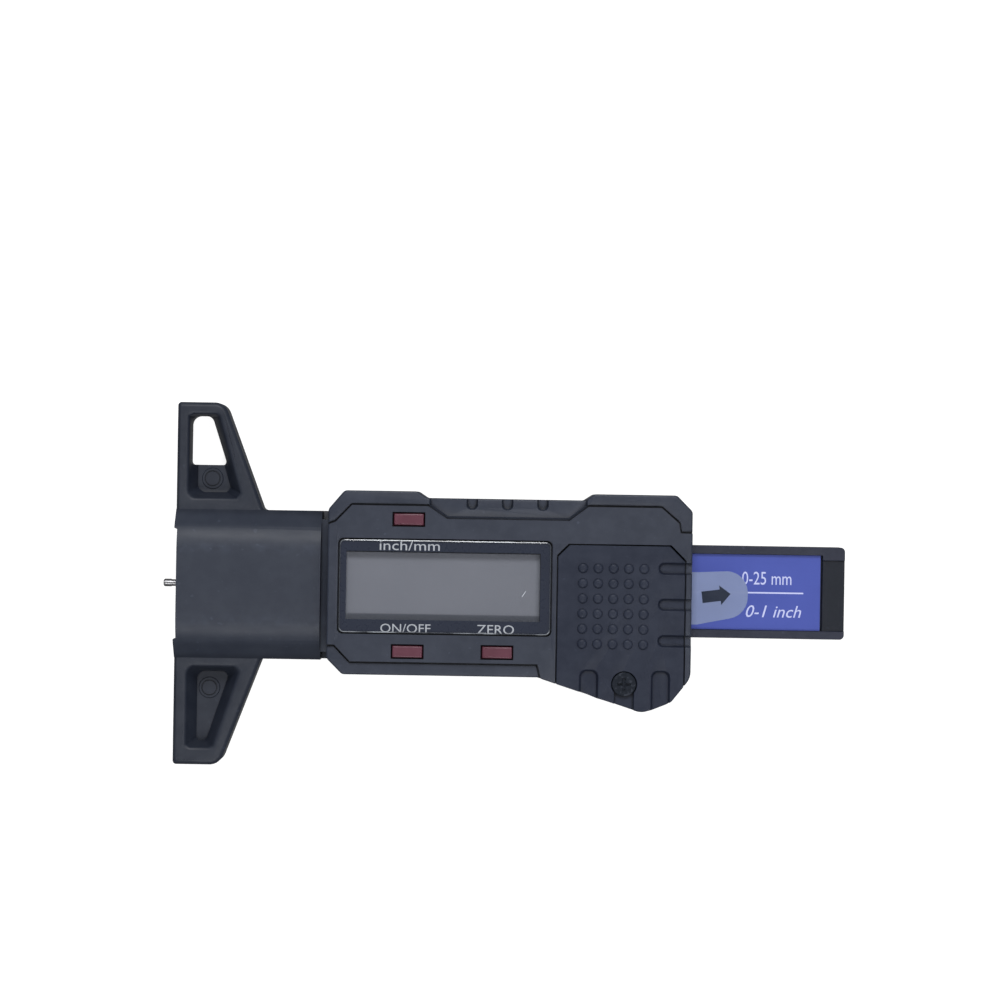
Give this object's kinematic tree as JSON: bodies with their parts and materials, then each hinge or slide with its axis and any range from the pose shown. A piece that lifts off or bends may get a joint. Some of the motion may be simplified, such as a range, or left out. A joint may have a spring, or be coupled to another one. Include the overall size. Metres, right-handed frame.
{
  "type": "depth gauge",
  "caption": "Digital tread depth gauge: T-shaped base, display head with keys and battery cover, and a slider that drives a steel probe pin.",
  "frame": {"origin": "on the measuring face's plane, in line with the probe pin, at the level of the flat back", "axes": "+X from the measuring face along the gauge towards the slider's end, +Y across to the ear with the hole, +Z from the back to the display"},
  "size_m": [0.1133, 0.0602, 0.0143],
  "materials": {
    "body_plastic": "fine moulded satin, charcoal blue-grey",
    "slider_plastic": "moulded satin, charcoal",
    "window_clear": "clear acrylic with a dark printed border",
    "display_glass": "grey liquid crystal glass",
    "zebra_rubber": "silicone strip",
    "board_laminate": "green solder mask",
    "chip_resin": "black resin",
    "switch_plastic": "black moulding",
    "plunger_plastic": "pale moulding",
    "button_plastic": "moulded satin, dusky red",
    "cell_steel": "nickel-plated steel can",
    "contact_metal": "nickel-plated spring strip",
    "screw_steel": "plated steel",
    "cover_screw_black": "black oxide",
    "tab_film": "frosted clear film",
    "scale_laminate": "printed laminate",
    "label_film": "printed blue film",
    "probe_steel": "ground hardened steel"
  },
  "bodies": {
    "frame": {"base_frame": "body_plastic", "head_housing": "body_plastic", "display_window": "window_clear", "lcd_panel": "display_glass", "zebra_strips": "zebra_rubber", "circuit_board": "board_laminate", "chip_cap": "chip_resin", "tact_switches": "switch_plastic", "battery_cell": "cell_steel", "contact_negative": "contact_metal", "contact_positive": "contact_metal", "case_screws": "screw_steel"},
    "slider": {"slider": "slider_plastic", "scale_board": "scale_laminate", "slider_label": "label_film", "probe_pin": "probe_steel", "stop_pin": "probe_steel"},
    "battery_cover": {"battery_cover": "body_plastic", "cover_screw": "cover_screw_black"},
    "pull_tab": {"pull_tab": "tab_film"},
    "units_button": {"button_units": "button_plastic", "plunger_units": "plunger_plastic"},
    "power_button": {"button_power": "button_plastic", "plunger_power": "plunger_plastic"},
    "zero_button": {"button_zero": "button_plastic", "plunger_zero": "plunger_plastic"}
  },
  "joints": [
    {"name": "slider_travel", "type": "slide", "parent": "frame", "child": "slider", "axis": [-1, 0, 0], "range_m": [-0.002, 0.0234]},
    {"name": "cover_lift", "type": "slide", "parent": "frame", "child": "battery_cover", "axis": [0, 0, 1], "range_m": [0, 0.012]},
    {"name": "tab_pull", "type": "slide", "parent": "frame", "child": "pull_tab", "axis": [1, 0, 0], "range_m": [0, 0.03]},
    {"name": "units_press", "type": "slide", "parent": "frame", "child": "units_button", "axis": [0, 0, -1], "range_m": [0, 0.0004], "stiffness_N_per_m": 1500},
    {"name": "power_press", "type": "slide", "parent": "frame", "child": "power_button", "axis": [0, 0, -1], "range_m": [0, 0.0004], "stiffness_N_per_m": 1500},
    {"name": "zero_press", "type": "slide", "parent": "frame", "child": "zero_button", "axis": [0, 0, -1], "range_m": [0, 0.0004], "stiffness_N_per_m": 1500}
  ]
}
